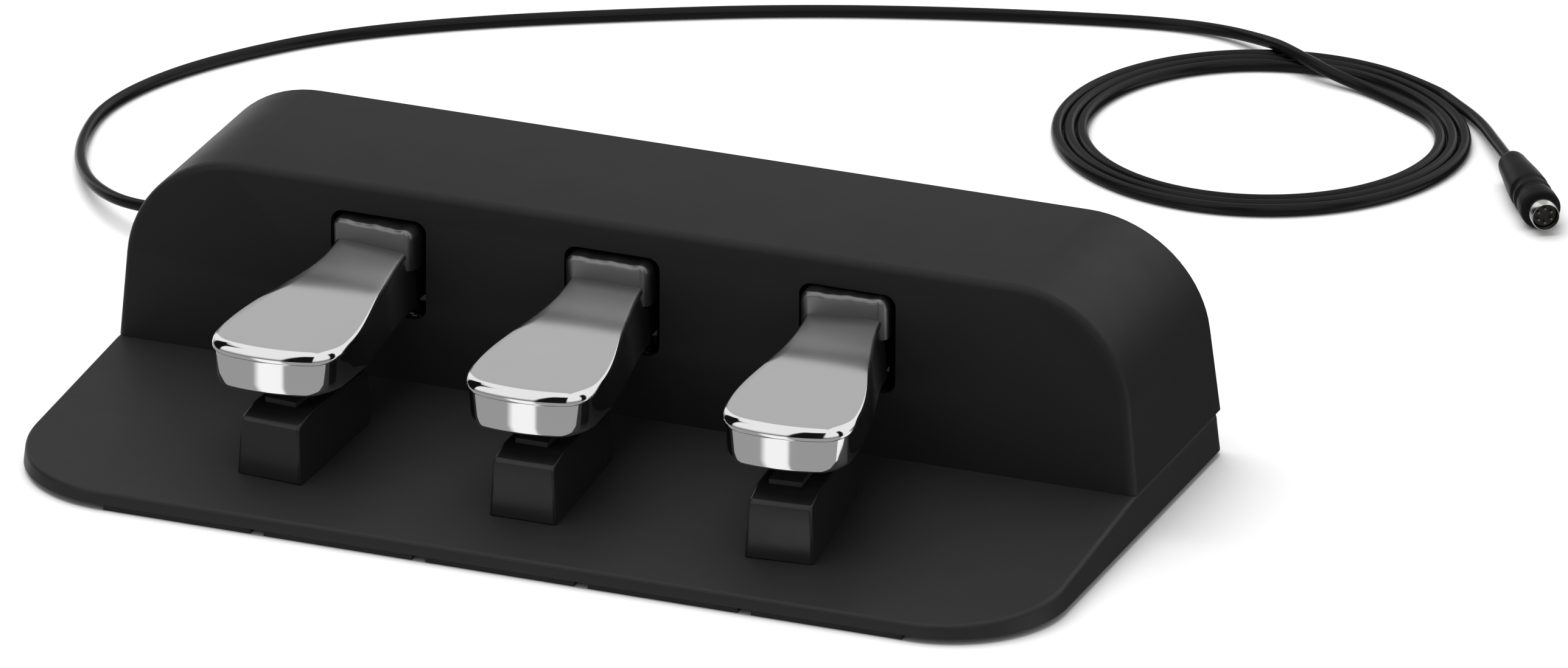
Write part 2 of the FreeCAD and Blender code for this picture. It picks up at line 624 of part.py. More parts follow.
def cord_gland():
    """Rubber gland in the rear wall: inner flange, neck, outer flange and tapered boot."""
    x = size("gland_x")
    z = size("gland_z")
    wall_y = rear_y(z)
    shape = rod(9, 9, (x, wall_y - 5, z), (0, 1, 0))
    shape = shape.fuse(rod(13, 2, (x, 81, z), (0, 1, 0)))
    shape = shape.fuse(rod(13, 1.8, (x, wall_y + 0.9, z), (0, 1, 0)))
    tip = LEAD_ROUTE[0][1]
    boot = Part.makeCone(4.3, 3.0, tip - wall_y - 2.7, Vector(x, wall_y + 2.7, z), Vector(0, 1, 0))
    return feature("cord_gland", shape.fuse(boot).removeSplitter())


def plug_frame():
    """Placement of the plug: lying on the floor, its own x along the plug to the pins."""
    start = Vector(size("plug_x"), size("plug_y"), size("plug_dia") / 2)
    return Placement(start, Rotation(Vector(0, 0, 1), size("plug_heading")))


def plug():
    """Tapered body with finger grooves and a collar; a stepped metal shell, its core and pins."""
    place = plug_frame()
    radius = size("plug_dia") / 2
    length = size("plug_length")
    shell = size("shell_dia")
    reach = length + size("shell_length")
    root = shell - 0.6
    bore = shell - 1.4
    outline = [(0, 0), (0, 2.9), (1.6, 4.3), (7, 4.9), (18, 6.1), (26, radius - 0.1), (28, radius - 0.5),
               (30, radius - 0.1), (32, radius - 0.5), (34, radius - 0.1), (36, radius - 0.5),
               (37.5, radius), (length - 0.8, radius), (length, radius - 0.8), (length, 0)]
    body = polygon_face([(x, 0, r) for x, r in outline]).revolve(Vector(0, 0, 0), Vector(1, 0, 0), 360)
    feature("plug_body", body.cut(rod(root, 6, (length - 6, 0, 0), (1, 0, 0))), place)
    sleeve = rod(root, 7, (length - 6, 0, 0), (1, 0, 0))
    sleeve = sleeve.fuse(rod(shell, reach - length, (length, 0, 0), (1, 0, 0)))
    sleeve = sleeve.cut(rod(bore, reach, (length - 5, 0, 0), (1, 0, 0)))
    feature("plug_shell", sleeve.removeSplitter(), place)
    core = rod(bore, reach - 2.5 - length + 5, (length - 5, 0, 0), (1, 0, 0))
    ring = [(math.cos(a) * 2.4, math.sin(a) * 2.4) for a in (math.radians(30 + 60 * k) for k in range(6))]
    pins = [rod(0.8, 4.6, (reach - 5.6, y, z), (1, 0, 0)) for y, z in ring]
    feature("plug_core", core.cut(pins[0].fuse(pins[1:])), place)
    feature("plug_pins", Part.makeCompound(pins), place)


def cord_coil():
    """The coil of spare lead lying on the floor, as one flat ring."""
    ring = doc.addObject("Part::Cut", "coil_ring")
    outer = doc.addObject("Part::Cylinder", "coil_outside")
    inner = doc.addObject("Part::Cylinder", "coil_inside")
    bind(outer, Radius="sizes.coil_outer", Height="sizes.coil_tall")
    bind(inner, Radius="sizes.coil_inner", Height="sizes.coil_tall")
    ring.Base = outer
    ring.Tool = inner
    return node(ring, "cord_coil", Placement(Vector(size("coil_x"), size("coil_y"), 0), Rotation()))


def build():
    base_case()
    hood_cover()
    bottom_plate()
    rubber_parts()
    pan_screws("plate_screws", plate_screw_places(), size("foot_height"), 5.4, 5.5, 1.5)
    pan_screws("hood_screws", hood_screw_places(), size("deck_z") - size("wall"), 10.5)
    build_stations()
    floor = size("foot_height") + size("plate_thick")
    pan_screws("bracket_screws", bracket_screw_places(), floor + 2, 3.6, up=-1)
    sensor_board()
    cord_gland()
    cord_tube("inner_loom", LOOM_ROUTE, size("loom_dia"))
    cord_tube("cord_lead", LEAD_ROUTE, size("cord_dia"))
    cord_coil()
    cord_tube("cord_tail", TAIL_ROUTE, size("cord_dia"))
    plug()


def write_parts():
    doc.recompute()
    for obj in doc.Objects:
        if "Invalid" in obj.State or "Error" in obj.State:
            raise RuntimeError("%s failed: %s" % (obj.Label, obj.State))
    os.makedirs("parts", exist_ok=True)
    for obj in NODES:
        shape = obj.Shape
        if shape.isNull() or not shape.isValid() or not shape.Solids:
            raise RuntimeError("%s has no valid solid" % obj.Label)
        shape.exportStep("parts/%s.step" % obj.Label)
    print("%d sub-parts written" % len(NODES))


build()
write_parts()
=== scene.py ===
"""Looks of the triple piano pedal unit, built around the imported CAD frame.

Metres, in the CAD's own frame: +X to the player's right, +Y away from the player, +Z up.
"""
import json
import math

import bpy
import bmesh
from mathutils import Matrix, Vector


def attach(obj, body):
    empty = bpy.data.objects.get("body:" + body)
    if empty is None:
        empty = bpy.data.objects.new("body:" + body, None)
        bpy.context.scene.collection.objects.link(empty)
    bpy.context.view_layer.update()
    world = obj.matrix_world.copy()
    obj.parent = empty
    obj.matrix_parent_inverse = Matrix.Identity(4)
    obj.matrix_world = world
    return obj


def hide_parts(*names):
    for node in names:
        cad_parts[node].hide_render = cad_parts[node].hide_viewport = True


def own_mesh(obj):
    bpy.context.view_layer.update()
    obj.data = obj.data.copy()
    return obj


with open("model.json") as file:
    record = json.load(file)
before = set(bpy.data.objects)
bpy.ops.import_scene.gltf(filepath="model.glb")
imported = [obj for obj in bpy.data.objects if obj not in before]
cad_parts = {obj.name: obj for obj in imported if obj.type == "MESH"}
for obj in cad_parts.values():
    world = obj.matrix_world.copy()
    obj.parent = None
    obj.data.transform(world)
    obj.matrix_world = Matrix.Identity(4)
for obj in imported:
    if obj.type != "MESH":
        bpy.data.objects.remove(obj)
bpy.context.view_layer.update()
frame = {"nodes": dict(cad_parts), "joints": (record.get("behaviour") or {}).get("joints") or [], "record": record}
NODES = frame["nodes"]
JOINTS = {joint["name"]: joint for joint in frame["joints"]}
STATIONS = ("left", "centre", "right")
MM = 0.001


def new_object(name, data):
    """An object that is in the scene."""
    made = bpy.data.objects.new(name, data)
    bpy.context.scene.collection.objects.link(made)
    return made


# ------------------------------------------------------------------ camera
CAMERA_TARGET = (46.3, 32.25, 41.1)
CAMERA_DISTANCE = 6.152
CAMERA_AZIMUTH, CAMERA_ELEVATION, CAMERA_ROLL = 21.55, 22.7, 0.29
SENSOR_WIDTH, FOCAL_LENGTH = 36.0, 454.0


def make_camera():
    """A long lens from the front right, a little above the unit."""
    azimuth, elevation = math.radians(CAMERA_AZIMUTH), math.radians(CAMERA_ELEVATION)
    back = Vector((math.sin(azimuth) * math.cos(elevation),
                   -math.cos(azimuth) * math.cos(elevation), math.sin(elevation)))
    data = bpy.data.cameras.new("camera")
    data.sensor_width = SENSOR_WIDTH
    data.lens = FOCAL_LENGTH
    camera = new_object("camera", data)
    roll = Matrix.Rotation(math.radians(CAMERA_ROLL), 3, "Z")
    turn = (-back).to_track_quat("-Z", "Y").to_matrix() @ roll
    place = Vector(CAMERA_TARGET) * MM + back * CAMERA_DISTANCE
    camera.matrix_world = Matrix.Translation(place) @ turn.to_4x4()
    bpy.context.scene.camera = camera


make_camera()


# ------------------------------------------------------------------ materials
class Nodes:
    """Short names for building a material's node tree."""

    def __init__(self, name):
        self.material = bpy.data.materials.new(name)
        self.material.use_nodes = True
        self.tree = self.material.node_tree
        self.shader = self.tree.nodes["Principled BSDF"]
        self.place = self.add("ShaderNodeTexCoord").outputs["Object"]

    def add(self, kind, **sockets):
        node = self.tree.nodes.new(kind)
        for name, value in sockets.items():
            self.put(node.inputs[name.replace("_", " ")], value)
        return node

    def put(self, socket, value):
        if isinstance(value, bpy.types.NodeSocket):
            self.tree.links.new(value, socket)
        else:
            socket.default_value = value

    def set(self, **sockets):
        for name, value in sockets.items():
            self.put(self.shader.inputs[name.replace("_", " ")], value)

    def noise(self, scale, detail=3.0, roughness=0.55, stretch=(1, 1, 1)):
        """Noise that repeats about every 1/scale metres."""
        place = self.add("ShaderNodeMapping", Vector=self.place, Scale=stretch)
        return self.add("ShaderNodeTexNoise", Vector=place.outputs[0], Scale=scale, Detail=detail,
                        Roughness=roughness).outputs["Fac"]

    def remap(self, value, low, high, out_low, out_high):
        """Carries low to high over to out_low to out_high, and stops at both."""
        node = self.add("ShaderNodeMapRange", Value=value)
        self.put(node.inputs["From Min"], low)
        self.put(node.inputs["From Max"], high)
        self.put(node.inputs["To Min"], out_low)
        self.put(node.inputs["To Max"], out_high)
        return node.outputs["Result"]

    def mix(self, factor, first, second):
        node = self.add("ShaderNodeMix")
        node.data_type = "RGBA"
        self.put(node.inputs["Factor"], factor)
        self.put(node.inputs[6], first)
        self.put(node.inputs[7], second)
        return node.outputs[2]

    def bump(self, height, strength, distance):
        node = self.add("ShaderNodeBump", Height=height, Strength=strength, Distance=distance)
        self.put(self.shader.inputs["Normal"], node.outputs["Normal"])

    def edges(self, low=0.52, high=0.62):
        """1 on sharp outer edges, 0 elsewhere: where hands and shoes rub, and where a painted highlight lightens
        them.
        """
        sharp = self.add("ShaderNodeNewGeometry").outputs["Pointiness"]
        return self.remap(sharp, low, high, 0.0, 1.0)


def grey(value, tint=(1.0, 1.0, 1.0)):
    return tuple(value * t for t in tint) + (1.0,)


def plastic(name, value, rough, grain=2600.0, depth=0.00003, tint=(1.0, 1.0, 1.02), spec=0.5,
            edge_wear_and_sheen=0.5):
    """Moulded plastic: fine spark-eroded grain, faint colour drift, and edges lightened partly as rubbed wear and
    partly as a painted highlight.
    """
    n = Nodes(name)
    drift = n.noise(9.0, 2.0)
    fine = n.noise(grain, 2.0, 0.6)
    colour = n.mix(drift, grey(value * 0.88, tint), grey(value * 1.12, tint))
    # lighter on sharp edges: partly rubbed wear, partly a painted highlight
    colour = n.mix(n.remap(n.edges(), 0, 1, 0, edge_wear_and_sheen * 0.5), colour, grey(value * 1.9, tint))
    n.set(Base_Color=colour, Specular_IOR_Level=spec)
    n.set(Roughness=n.remap(n.noise(60.0, 4.0), 0.3, 0.7, rough - 0.04, rough + 0.04))
    n.bump(fine, 0.35, depth)
    return n.material


def metal(name, colour, rough, brushed=0.0, depth=0.000004, stretch=(1, 1, 1), grain=900.0):
    """Metal with a little haze, wiping marks and, if asked, a brushed grain."""
    n = Nodes(name)
    haze = n.noise(38.0, 4.0, 0.6)
    dark = tuple(c * 0.93 for c in colour) + (1.0,)
    light = tuple(min(1.0, c * 1.03) for c in colour) + (1.0,)
    n.set(Base_Color=n.mix(haze, dark, light), Metallic=1.0)
    n.set(Roughness=n.remap(haze, 0.3, 0.7, rough * 0.8, rough * 1.25))
    n.bump(n.noise(grain, 2.0, 0.5, stretch), 0.1 + brushed, depth)
    return n.material


# where the pedals' plate turns dull towards the hood, and darker with painted shade, in metres along each pedal's
# y
DULL_FROM, DULL_TO = -0.024, -0.006
SHADE_FROM, SHADE_TO = -0.018, 0.006


def chrome():
    """Polished plate, duller from the neck back, where the wheel does not reach, and darker there with painted
    shade.
    """
    n = Nodes("pedal_chrome")
    haze = n.noise(38.0, 4.0, 0.6)
    along = n.add("ShaderNodeSeparateXYZ", Vector=n.place).outputs["Y"]
    dull = n.remap(along, DULL_FROM, DULL_TO, 0.0, 1.0)
    dark = n.remap(along, SHADE_FROM, SHADE_TO, 0.0, 1.0)
    wiped = n.remap(haze, 0.3, 0.7, 0.045, 0.07)
    unshaded_plate = n.mix(haze, grey(0.75), grey(0.81))
    # painted shade: the plate's colour darkens to grey from the neck back to the slot
    n.set(Base_Color=n.mix(dark, unshaded_plate, grey(0.23)), Metallic=1.0)
    n.set(Roughness=n.remap(dull, 0.0, 1.0, wiped, 0.36))
    n.bump(n.noise(420.0, 2.0), 0.05, 0.000003)
    return n.material


def rubber(name, value, grain=1500.0):
    """Matt and speckled; with a finer grain it also serves for felt."""
    n = Nodes(name)
    speckle = n.noise(grain, 3.0, 0.7)
    colour = n.mix(speckle, grey(value * 0.7), grey(value * 1.4))
    n.set(Base_Color=colour, Specular_IOR_Level=0.35)
    n.set(Roughness=n.remap(n.noise(120.0, 3.0), 0.3, 0.7, 0.7, 0.88))
    n.bump(speckle, 0.4, 0.00005)
    return n.material


def make_materials():
    """A material for every slot of the record."""
    return {
        "case_plastic": plastic("case_plastic", 0.0180, 0.46, spec=0.20),
        "hood_plastic": plastic("hood_plastic", 0.0150, 0.42, spec=0.13),
        # the stop blocks' edges are lightened most: a painted highlight along their front chamfer, on top of
        # rubbed wear
        "block_plastic": plastic("block_plastic", 0.0120, 0.24, depth=0.00001, spec=0.35,
                                 edge_wear_and_sheen=1.6),
        "plug_plastic": plastic("plug_plastic", 0.0060, 0.42, grain=1800.0, spec=0.10),
        "cord_jacket": plastic("cord_jacket", 0.0055, 0.26, grain=900.0, depth=0.00001, spec=0.16,
                               edge_wear_and_sheen=0.0),
        "loom_jacket": plastic("loom_jacket", 0.0150, 0.45, edge_wear_and_sheen=0.0),
        "plug_insulator": plastic("plug_insulator", 0.0060, 0.40),
        "board_laminate": plastic("board_laminate", 0.05, 0.30, tint=(0.3, 1.6, 0.6), edge_wear_and_sheen=0.0),
        "connector_plastic": plastic("connector_plastic", 0.70, 0.45, tint=(1.0, 0.97, 0.88)),
        "sensor_plastic": plastic("sensor_plastic", 0.05, 0.40, tint=(0.5, 0.7, 2.0)),
        "arm_plastic": plastic("arm_plastic", 0.68, 0.45),
        "bush_nylon": plastic("bush_nylon", 0.70, 0.5, tint=(1.0, 0.98, 0.92)),
        "grip_rubber": rubber("grip_rubber", 0.016),
        "cord_rubber": rubber("cord_rubber", 0.014),
        "pad_rubber": rubber("pad_rubber", 0.022),
        "felt": rubber("felt", 0.05, 4000.0),
        "pedal_chrome": chrome(),
        "plug_nickel": metal("plug_nickel", (0.74, 0.73, 0.70), 0.16),
        "zinc_plate": plastic("zinc_plate", 0.03, 0.5, depth=0.00005),
        "screw_steel": metal("screw_steel", (0.52, 0.52, 0.54), 0.3),
        "lever_steel": metal("lever_steel", (0.50, 0.50, 0.51), 0.34, 0.25, stretch=(1, 8, 1)),
        "pin_steel": metal("pin_steel", (0.56, 0.56, 0.57), 0.22),
        "spring_steel": metal("spring_steel", (0.42, 0.42, 0.43), 0.3),
        "brass_post": metal("brass_post", (0.72, 0.55, 0.24), 0.25),
        "pin_brass": metal("pin_brass", (0.26, 0.21, 0.12), 0.4),
    }


MATERIALS = make_materials()


def dress_cad_nodes():
    """Every carried-over CAD node gets the material of its slot."""
    for row in frame["record"]["subparts"]:
        piece = NODES[row["node"]]
        piece.data.materials.clear()
        piece.data.materials.append(MATERIALS[row["material_slot"]])


dress_cad_nodes()


# ------------------------------------------------------------------ cord
CORD_DIAMETER = 4.0
# the coil: its middle, the innermost turn's radius and what each further turn adds, in mm
COIL_CENTRE = (92.9, 335.9)
COIL_INNER, COIL_STEP = 54.4, 4.1
# where its first turn starts and how far it goes round, in degrees, clockwise from above
COIL_START, COIL_SWEEP = 30.0, 1057.5
# the arc over which each turn moves out to the next radius, centred on the coil's start
STEP_ARC = 45.0
# the rear end of the plug, in mm, and the way it points, in degrees from +X
PLUG_AT, PLUG_HEADING = (179.7, 331.7, 6.6), -56.7
# from the gland over the floor and over the coil's own turns, to the start of the coil
LEAD_POINTS = [
    (-105, 98.5, 22), (-106, 118, 21.5), (-120.5, 131.5, 20.5), (-145, 133.5, 18.5),
    (-171, 125, 15.5), (-195, 118.5, 12), (-217, 124, 9), (-236, 141, 6), (-250, 163, 3.6),
    (-259, 186, 2), (-263.5, 213, 2), (-257, 242, 2), (-242, 270, 2), (-218, 300, 2),
    (-182, 327, 2), (-136, 353, 2), (-88, 377, 2), (-37, 395.5, 2), (13, 409.5, 2),
    (38, 413.8, 2.1), (54, 411.5, 3.0), (67.5, 404.5, 4.8), (75, 399.0, 6.2), (82, 394.2, 6.4),
    (90, 390.0, 5.6), (98.5, 387.0, 4.0), (110, 384.5, 2.2), (125.5, 376.2, 2)]
TAIL_POINTS = [(141.5, 383.0, 2.2), (156.0, 368.8, 2.8), (168.6, 349.0, 4.8), PLUG_AT]


def smooth(value):
    """0 below 0, 1 above 1, and an eased slope between."""
    value = min(max(value, 0.0), 1.0)
    return value * value * (3 - 2 * value)


def coil_points(per_turn=16):
    """Clockwise turns, each stepping outwards over the same eighth of the ring."""
    points = []
    for index in range(round(COIL_SWEEP * per_turn / 360) + 1):
        turned = 360.0 * index / per_turn
        stepped = turned + STEP_ARC / 2
        turn = int(stepped // 360)
        radius = COIL_INNER + COIL_STEP * (turn + smooth((stepped - 360 * turn) / STEP_ARC))
        radius /= math.cos(math.pi / per_turn)  # the curve cuts its control points' corners
        angle = math.radians(COIL_START - turned)
        points.append((COIL_CENTRE[0] + radius * math.cos(angle),
                       COIL_CENTRE[1] + radius * math.sin(angle), CORD_DIAMETER / 2))
    return points


def make_cord():
    """One spline: from the gland, over the floor, round the coil and on to the plug."""
    points = LEAD_POINTS + coil_points() + TAIL_POINTS
    data = bpy.data.curves.new("cord", "CURVE")
    data.dimensions = "3D"
    data.bevel_depth = CORD_DIAMETER / 2 * MM
    data.bevel_resolution = 5
    data.resolution_u = 12
    data.use_fill_caps = True
    spline = data.splines.new("NURBS")
    spline.points.add(len(points) - 1)
    for point, place in zip(spline.points, points):
        point.co = tuple(c * MM for c in place) + (1.0,)
    spline.order_u = 3
    spline.use_endpoint_u = True
    cord = new_object("cord", data)
    data.materials.append(MATERIALS["cord_jacket"])
    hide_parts("cord_lead", "cord_coil", "cord_tail")
    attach(cord, "chassis")
    return cord


CORD = make_cord()


# ------------------------------------------------------------------ mesh helpers
def grid(rows, close_columns=False):
    """Points and faces of a sheet whose rows are lists of equally many points."""
    wide = len(rows[0])
    points = [point for row in rows for point in row]
    faces = []
    for r in range(len(rows) - 1):
        for c in range(wide if close_columns else wide - 1):
            c1 = (c + 1) % wide
            faces.append((r * wide + c, r * wide + c1, (r + 1) * wide + c1, (r + 1) * wide + c))
    return points, faces


def end_faces(rows):
    """The two faces that fill the first and the last row of a grid."""
    wide = len(rows[0])
    last = (len(rows) - 1) * wide
    return tuple(range(wide)), tuple(last + c for c in reversed(range(wide)))


def closed_part(rows):
    """A tube through rows that are rings, with both ends filled."""
    points, faces = grid(rows, close_columns=True)
    return points, faces + list(end_faces(rows))


def rings(outline, around=48):
    """Rings about the x axis, one for each (distance along it, radius) of the outline."""
    angles = [2 * math.pi * k / around for k in range(around)]
    return [[(distance, radius * math.cos(angle), radius * math.sin(angle)) for angle in angles]
            for distance, radius in outline]


def add_piece(name, parts, place, slot, body, replaced, sharp=40.0):
    """One object from several parts, each (points in mm, faces), handed to its body."""
    points, faces = [], []
    for part_points, part_faces in parts:
        faces += [tuple(index + len(points) for index in face) for face in part_faces]
        points += part_points
    mesh = bpy.data.meshes.new(name)
    mesh.from_pydata([place @ (Vector(point) * MM) for point in points], [], faces)
    work = bmesh.new()
    work.from_mesh(mesh)
    bmesh.ops.remove_doubles(work, verts=work.verts, dist=0.00001)
    bmesh.ops.recalc_face_normals(work, faces=work.faces)
    work.to_mesh(mesh)
    work.free()
    mesh.shade_smooth()
    mesh.set_sharp_from_angle(angle=math.radians(sharp))
    mesh.materials.append(MATERIALS[slot])
    piece = new_object(name, mesh)
    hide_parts(*replaced)
    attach(piece, body)
    return piece


# each hinge behind the hood's front and above the floor
PIVOT_Y, PIVOT_Z = 44.0, 42.0


def station_place(name):
    """A pedal's own frame: x along its hinge, y to the rear from the hood's front, z up."""
    joint = JOINTS[name + "_pedal_press"]
    across = Vector(joint["axis"]).normalized()
    up = Vector((0, 0, 1))
    back = up.cross(across)
    origin = Vector(joint["pos_m"]) - (back * PIVOT_Y + up * PIVOT_Z) * MM
    turn = Matrix((across, back, up)).transposed().to_4x4()
    return Matrix.Translation(origin) @ turn


def station_turn(name):
    """How far a pedal's frame is turned in plan, in radians."""
    across = Vector(JOINTS[name + "_pedal_press"]["axis"]).normalized()
    return math.atan2(across.y, across.x)


# ------------------------------------------------------------------ pedals
# lengths in mm; s runs from a pedal's nose towards the hood
REACH = 75.2
BELLY, NECK = 21.3, 12.3
WAIST_FROM, WAIST_LONG = 16, 54
NOSE_ROUND, CORNER_ROUND = 60.0, 9.5
NOSE_STEPS, CORNER_STEPS, SIDE_STEPS = 12, 14, 44
SKIRT_END = 74.4
NOSE_Z, TOP_SLOPE, TOP_CROWN = 49.8, 0.11, 0.15
RISE, RISE_FROM, RISE_LONG = 2.4, 50, 19.7
# the rows of the nose meet on the middle line here
MEET_S = 16.0
# the rim's bevel and the skirt's tuck below it: at the nose, and what changes along the side
BEVEL_IN, BEVEL_IN_LESS = 5.2, 3.9
BEVEL_DOWN, BEVEL_DOWN_LESS = 4.0, 2.4
TUCK, TUCK_MORE = 0.4, 1.2
# the skirt's foot: its height and slope, its half width at the hood and what it gains forwards
FOOT_Z, FOOT_SLOPE = 35.4, 0.057
FOOT_HALF, FOOT_GAIN, FOOT_FROM, FOOT_LONG = 13.5, 6.1, 26, 46
# the rounding of its lower edge, and what the nose's corners add
EDGE_ROUND, EDGE_CORNER = 0.9, 1.6
# the block that fills the slot behind the neck: x, y and z, from and to
TONGUE = (-12.0, 12.0, -1.6, 12, 41, 57)
# how each pedal stands at rest: turned outwards and raised at the nose, in degrees
STANCE = {"left": (-0.5, 0.3), "centre": (0.0, 0.4), "right": (0.8, 1.2)}
# how far each nose is cut askew, in mm per mm of width
NOSE_SKEW = {"left": 0.16, "centre": 0.07, "right": 0.0}


def rim_half(s):
    """Half width of the pedal's top at s behind its nose."""
    return NECK + (BELLY - NECK) * (1 - smooth((s - WAIST_FROM) / WAIST_LONG))


def top_z(x, s):
    """Height of the top: a slope, a faint crown and a rise towards the riser."""
    rise = RISE * max(0.0, (s - RISE_FROM) / RISE_LONG) ** 2.0
    crown = TOP_CROWN * (1 - min(1.0, (x / rim_half(s)) ** 2))
    return NOSE_Z + TOP_SLOPE * s + rise + crown


def rim_points():
    """Right half of the top's outline, from the nose to the neck.

    Each point is (x, s, outward x, outward s, corner); corner is 0 along the nose and the side
    and swells to 1 in the middle of the nose's corner.
    """
    corner_x = BELLY - CORNER_ROUND
    corner_s = NOSE_ROUND - math.sqrt((NOSE_ROUND - CORNER_ROUND) ** 2 - corner_x ** 2)
    meet = math.asin(corner_x / (NOSE_ROUND - CORNER_ROUND))
    line = []
    for step in range(NOSE_STEPS):
        angle = meet * step / NOSE_STEPS
        line.append((NOSE_ROUND * math.sin(angle), NOSE_ROUND * (1 - math.cos(angle)), 0.0))
    for step in range(CORNER_STEPS + 1):
        angle = meet + (math.pi / 2 - meet) * step / CORNER_STEPS
        line.append((corner_x + CORNER_ROUND * math.sin(angle),
                     corner_s - CORNER_ROUND * math.cos(angle),
                     math.sin(math.pi * (step + 1) / (CORNER_STEPS + 2))))
    for step in range(1, SIDE_STEPS + 1):
        s = corner_s + (SKIRT_END - corner_s) * step / SIDE_STEPS
        line.append((rim_half(s), s, 0.0))
    found = []
    for index, (x, s, corner) in enumerate(line):
        before = line[index - 1] if index else (-line[1][0], line[1][1])
        after = line[min(index + 1, len(line) - 1)]
        along = Vector((after[0] - before[0], after[1] - before[1])).normalized()
        found.append((x, s, along.y, -along.x, corner))
    return found


def pedal_profile(x, s, nx, ns, corner):
    """From the middle of the top over the rim, down the skirt and back inside to the middle.

    The bevel is wide at the nose and narrow along the side; the nose's corners (corner above 0)
    have a rounder lower edge.
    """
    side = smooth(s / 14)
    bevel_in = BEVEL_IN - BEVEL_IN_LESS * side
    bevel_down = BEVEL_DOWN - BEVEL_DOWN_LESS * side
    tuck = TUCK + TUCK_MORE * side
    inner_x, inner_s = x - nx * bevel_in, s - ns * bevel_in
    centre = max(inner_s, MEET_S)
    row = []
    for step in range(7):
        t = step / 6
        px, ps = inner_x * t, centre + (inner_s - centre) * t
        row.append((px, ps, top_z(px, ps)))
    rim_top = top_z(inner_x, inner_s)
    for step in range(1, 8):
        angle = math.pi / 2 * step / 7
        out = bevel_in * (1 - math.sin(angle))
        row.append((x - nx * out, s - ns * out, rim_top - bevel_down * (1 - math.cos(angle))))
    # a fine groove below the bevel, then the skirt
    low_rim = rim_top - bevel_down
    row.append((x - nx * 0.08, s - ns * 0.08, low_rim - 0.3))
    row.append((x - nx * 0.35, s - ns * 0.35, low_rim - 0.5))
    top = low_rim - 0.6
    bottom = FOOT_Z + FOOT_SLOPE * s
    foot_half = FOOT_HALF + FOOT_GAIN * (1 - smooth((s - FOOT_FROM) / FOOT_LONG))
    flare = (foot_half - x + tuck) * smooth((s - 6) / 5)
    edge = EDGE_ROUND + EDGE_CORNER * corner

    def wall(height):
        """How far the skirt lies inside the rim, from 1 at its top to 0 at its foot."""
        down = 1 - height
        return tuck - flare * down ** 0.5 + 0.5 * corner * down

    for step in range(9):
        height = 1 - (step / 8) ** 1.7
        out = wall(height)
        z = bottom + edge + (top - bottom - edge) * height
        row.append((x - nx * out, s - ns * out, z))
    low = wall(0)
    for step in range(1, 5):
        angle = math.pi / 2 * step / 4
        out = low + edge * (1 - math.cos(angle))
        row.append((x - nx * out, s - ns * out, bottom + edge * (1 - math.sin(angle))))
    # back up inside, under the top
    out = low + 2.2
    row.append((x - nx * out, s - ns * out, bottom + 0.2))
    out = tuck + 2.4
    under_x, under_s = x - nx * out, s - ns * out
    roof = top_z(under_x, under_s) - 3.4 - bevel_down * 0.4
    row.append((under_x, under_s, roof))
    back = max(under_s, MEET_S)
    row.append((under_x / 2, (under_s + back) / 2, roof + 0.3))
    row.append((0.0, back, roof + 0.3))
    return row


def pedal_shell(turn, nose_skew):
    """The hollow paddle.

    Its rear end follows the hood's front, from which the pedal is turned by `turn` radians; its
    nose is cut askew by `nose_skew` mm per mm of width.
    """
    def laid(row, sign):
        placed = []
        for x, s, z in row:
            skew = -sign * x * math.tan(turn) * smooth((s - 60) / 12)
            skew += sign * x * nose_skew * (1 - smooth(s / 40))
            placed.append((sign * x, s - REACH + skew, z))
        return placed

    profiles = [pedal_profile(*point) for point in rim_points()]
    rows = [laid(row, 1) for row in reversed(profiles)] + [laid(row, -1) for row in profiles[1:]]
    points, faces = grid(rows)
    right, left = end_faces(rows)
    return points, faces + [right + left]


def riser_block():
    """Rounded block behind the neck, through the slot; its rolled top is slightly uneven."""
    half, corner, edge = 14.2, 3.2, 1.7
    front, rear, low, high = -5.5, 12.0, 53.5, 67.0
    rows = []
    for step in range(49):
        x = -half * math.cos(math.pi * step / 48)
        into = max(0.0, corner - (half - abs(x)))
        inset = corner - math.sqrt(max(0.0, corner * corner - into * into))
        wave = 0.14 * math.sin(x * 0.55 + 0.8) + 0.08 * math.sin(x * 1.3)
        top, face = high - inset + wave, front + inset
        row = [(x, rear, low), (x, face + 0.9, low), (x, face + 0.5, low + 3)]
        row += [(x, face + 0.25, (low + top) / 2), (x, face, top - edge)]
        for turn in range(1, 7):
            angle = math.pi / 2 * turn / 6
            row.append((x, face + edge * (1 - math.cos(angle)), top - edge * (1 - math.sin(angle))))
        row += [(x, 4.0, top), (x, rear, top)]
        rows.append(row)
    return closed_part(rows)


def box_part(x0, x1, y0, y1, z0, z1):
    """A plain box, in mm."""
    points = [(x, y, z) for x in (x0, x1) for y in (y0, y1) for z in (z0, z1)]
    return points, [(0, 1, 3, 2), (4, 6, 7, 5), (0, 4, 5, 1), (2, 3, 7, 6), (0, 2, 6, 4),
                    (1, 5, 7, 3)]


def make_pedals():
    for name in STATIONS:
        outwards, raised = STANCE[name]
        pivot = Matrix.Translation(Vector((0, PIVOT_Y, PIVOT_Z)) * MM)
        stand = station_place(name) @ Matrix.Rotation(math.radians(outwards), 4, "Z") @ pivot
        stand = stand @ Matrix.Rotation(math.radians(-raised), 4, "X") @ pivot.inverted()
        shell = pedal_shell(station_turn(name), NOSE_SKEW[name])
        parts = [shell, riser_block(), box_part(*TONGUE)]
        add_piece("pedal_casting_" + name, parts, stand, "pedal_chrome", name + "_pedal",
                  ["pedal_" + name], 34.0)


make_pedals()


